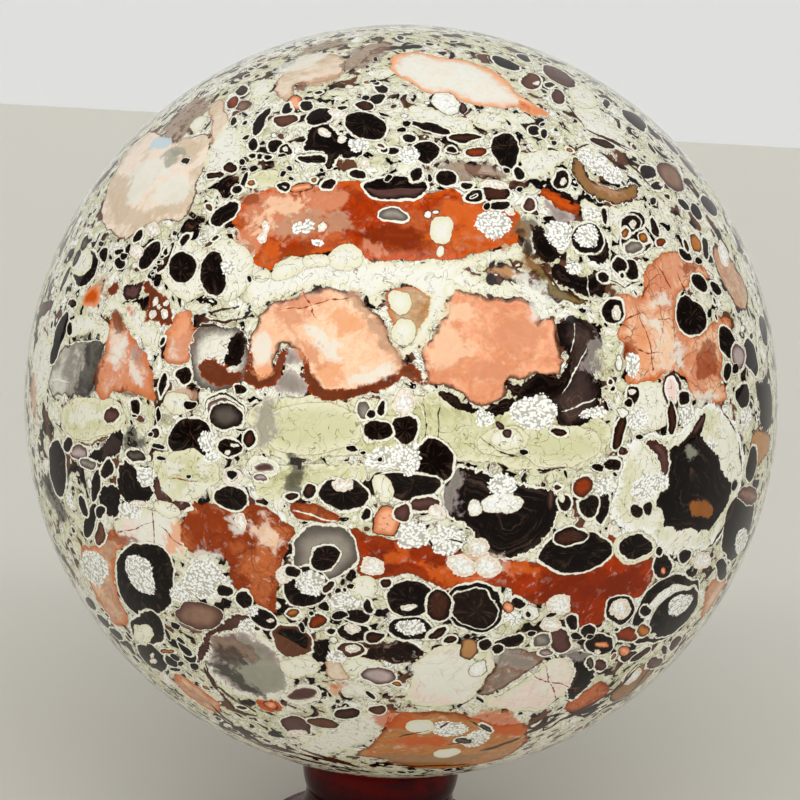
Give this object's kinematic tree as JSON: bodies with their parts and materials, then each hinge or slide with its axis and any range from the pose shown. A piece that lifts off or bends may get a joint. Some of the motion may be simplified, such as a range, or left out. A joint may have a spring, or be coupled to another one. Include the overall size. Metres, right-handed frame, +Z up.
{
  "type": "money agate sphere",
  "caption": "Polished sphere of orbicular money agate resting in the seat of a small turned, lacquered wooden stand.",
  "frame": {"origin": "middle of the stand's flat underside, on the surface it stands on", "axes": "+Z up along the turned stand's axis and through the stone's centre; -Y faces the picture's camera"},
  "size_m": [0.13, 0.13, 0.151],
  "materials": {
    "polished_agate": "polished",
    "lacquered_wood": "gloss"
  },
  "bodies": {
    "root": {"agate_sphere": "polished_agate", "wood_stand": "lacquered_wood"}
  },
  "joints": []
}
